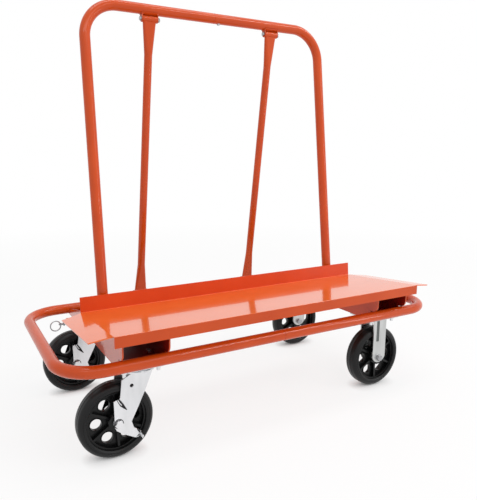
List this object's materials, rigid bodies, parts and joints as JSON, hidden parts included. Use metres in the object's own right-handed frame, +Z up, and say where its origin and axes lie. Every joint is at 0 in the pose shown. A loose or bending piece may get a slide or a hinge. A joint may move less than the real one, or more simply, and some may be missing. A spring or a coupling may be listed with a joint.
{
  "type": "drywall cart",
  "caption": "Low cart for sheet goods: tilted deck with back ledge on a tube bumper loop, braced A-frame upright, swivel casters with brakes and locks at one end, rigid casters at the other.",
  "frame": {"origin": "on the floor, under the middle of the cart's outline", "axes": "+X along the cart towards the rigid casters, +Y to the back past the ledge, +Z up"},
  "size_m": [1.27, 0.5924, 1.219],
  "materials": {
    "orange_coat": "glossy orange-red powder coat",
    "zinc_plate": "bright zinc plating",
    "core_black": "black moulded core",
    "tyre_rubber": "black rubber, satin",
    "bush_steel": "turned steel"
  },
  "bodies": {
    "base": {"loop_left": "orange_coat", "loop_right": "orange_coat", "cross_member_left": "orange_coat", "cross_member_right": "orange_coat", "deck": "orange_coat", "leg_socket_left": "orange_coat", "leg_socket_right": "orange_coat", "socket_bolts": "zinc_plate", "upright_left": "orange_coat", "upright_right": "orange_coat", "upright_sleeve": "zinc_plate", "sleeve_screw": "zinc_plate", "strut_left": "orange_coat", "strut_right": "orange_coat", "top_bracket_left": "orange_coat", "top_bracket_right": "orange_coat", "foot_bracket_left": "orange_coat", "foot_bracket_right": "orange_coat", "strut_bolts": "zinc_plate", "strut_nuts": "zinc_plate", "caster_bolts": "zinc_plate", "caster_nuts": "zinc_plate", "swivel_plate_front": "zinc_plate", "swivel_plate_back": "zinc_plate", "kingpin_front": "zinc_plate", "kingpin_back": "zinc_plate", "lock_barrel_front": "zinc_plate", "lock_barrel_back": "zinc_plate", "rigid_fork_front": "zinc_plate", "rigid_fork_back": "zinc_plate", "rigid_axles": "zinc_plate", "rigid_axle_nuts": "zinc_plate"},
    "swivel_front": {"swivel_fork_front": "zinc_plate", "swivel_axle_front": "zinc_plate", "swivel_axle_nut_front": "zinc_plate"},
    "pedal_front": {"brake_pedal_front": "zinc_plate"},
    "plunger_front": {"lock_plunger_front": "zinc_plate"},
    "pull_ring_front": {"lock_ring_front": "zinc_plate"},
    "wheel_left_front": {"wheel_core_left_front": "core_black", "tyre_left_front": "tyre_rubber", "hub_bush_left_front": "bush_steel"},
    "wheel_right_front": {"wheel_core_right_front": "core_black", "tyre_right_front": "tyre_rubber", "hub_bush_right_front": "bush_steel"},
    "swivel_back": {"swivel_fork_back": "zinc_plate", "swivel_axle_back": "zinc_plate", "swivel_axle_nut_back": "zinc_plate"},
    "pedal_back": {"brake_pedal_back": "zinc_plate"},
    "plunger_back": {"lock_plunger_back": "zinc_plate"},
    "pull_ring_back": {"lock_ring_back": "zinc_plate"},
    "wheel_left_back": {"wheel_core_left_back": "core_black", "tyre_left_back": "tyre_rubber", "hub_bush_left_back": "bush_steel"},
    "wheel_right_back": {"wheel_core_right_back": "core_black", "tyre_right_back": "tyre_rubber", "hub_bush_right_back": "bush_steel"}
  },
  "joints": [
    {"name": "swivel_front_turn", "type": "hinge", "parent": "base", "child": "swivel_front", "pos_m": [-0.417, -0.20287, 0.228], "axis": [0, 0, 1], "continuous": true},
    {"name": "wheel_left_front_spin", "type": "hinge", "parent": "swivel_front", "child": "wheel_left_front", "pos_m": [-0.48, -0.20287, 0.1], "axis": [0, 1, 0], "continuous": true},
    {"name": "wheel_right_front_spin", "type": "hinge", "parent": "base", "child": "wheel_right_front", "pos_m": [0.417, -0.20287, 0.1], "axis": [0, 1, 0], "continuous": true},
    {"name": "pedal_front_press", "type": "hinge", "parent": "swivel_front", "child": "pedal_front", "pos_m": [-0.48, -0.20287, 0.1], "axis": [0, 1, 0], "range_deg": [0, 20]},
    {"name": "plunger_front_slide", "type": "slide", "parent": "base", "child": "plunger_front", "axis": [1, 0, 0], "range_m": [0, 0.006]},
    {"name": "pull_ring_front_swing", "type": "hinge", "parent": "plunger_front", "child": "pull_ring_front", "pos_m": [-0.52, -0.20287, 0.228], "axis": [0, 0, 1], "range_deg": [-60, 60]},
    {"name": "swivel_back_turn", "type": "hinge", "parent": "base", "child": "swivel_back", "pos_m": [-0.417, 0.22137, 0.228], "axis": [0, 0, 1], "continuous": true},
    {"name": "wheel_left_back_spin", "type": "hinge", "parent": "swivel_back", "child": "wheel_left_back", "pos_m": [-0.48, 0.22137, 0.1], "axis": [0, 1, 0], "continuous": true},
    {"name": "wheel_right_back_spin", "type": "hinge", "parent": "base", "child": "wheel_right_back", "pos_m": [0.417, 0.22137, 0.1], "axis": [0, 1, 0], "continuous": true},
    {"name": "pedal_back_press", "type": "hinge", "parent": "swivel_back", "child": "pedal_back", "pos_m": [-0.48, 0.22137, 0.1], "axis": [0, 1, 0], "range_deg": [0, 20]},
    {"name": "plunger_back_slide", "type": "slide", "parent": "base", "child": "plunger_back", "axis": [1, 0, 0], "range_m": [0, 0.006]},
    {"name": "pull_ring_back_swing", "type": "hinge", "parent": "plunger_back", "child": "pull_ring_back", "pos_m": [-0.52, 0.22137, 0.228], "axis": [0, 0, 1], "range_deg": [-60, 60]}
  ]
}
